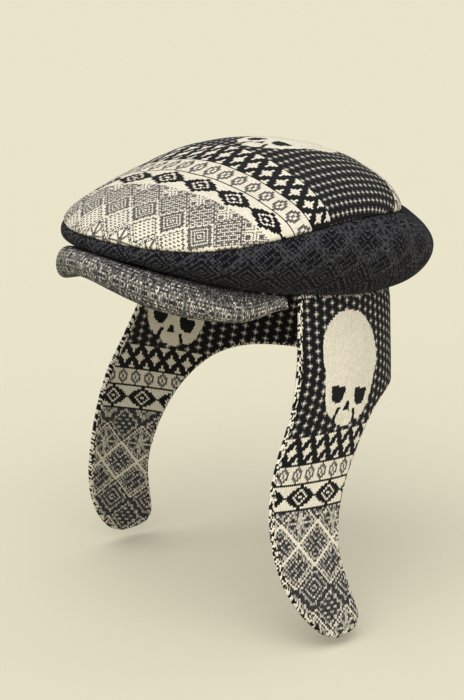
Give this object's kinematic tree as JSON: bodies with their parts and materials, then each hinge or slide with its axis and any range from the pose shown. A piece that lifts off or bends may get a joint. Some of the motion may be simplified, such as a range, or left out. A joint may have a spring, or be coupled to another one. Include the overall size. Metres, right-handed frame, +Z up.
{
  "type": "knit flat cap with ear flaps",
  "caption": "Knitted flat cap with a soft domed crown, padded peak, and long ear flaps that join a neck guard behind; keeps head, ears and neck warm.",
  "frame": {"origin": "middle of the head opening, at the height where the ear flaps join the rim", "axes": "+Z up as worn, the peak points to -Y, +X is the wearer's left; the rim dips 10 degrees to the back"},
  "size_m": [0.261, 0.2532, 0.2957],
  "materials": {
    "cream_jacquard": "patterned wool knit, cream with black and grey",
    "charcoal_jacquard": "patterned wool knit, black with charcoal",
    "grey_jacquard": "patterned wool knit, cream with grey",
    "black_jacquard": "patterned wool knit, black, cream and grey in bands"
  },
  "bodies": {
    "root": {"crown_top": "cream_jacquard", "side_panel_left": "charcoal_jacquard", "side_panel_right": "charcoal_jacquard", "peak": "grey_jacquard", "ear_flap_left": "black_jacquard", "ear_flap_right": "black_jacquard"}
  },
  "joints": []
}
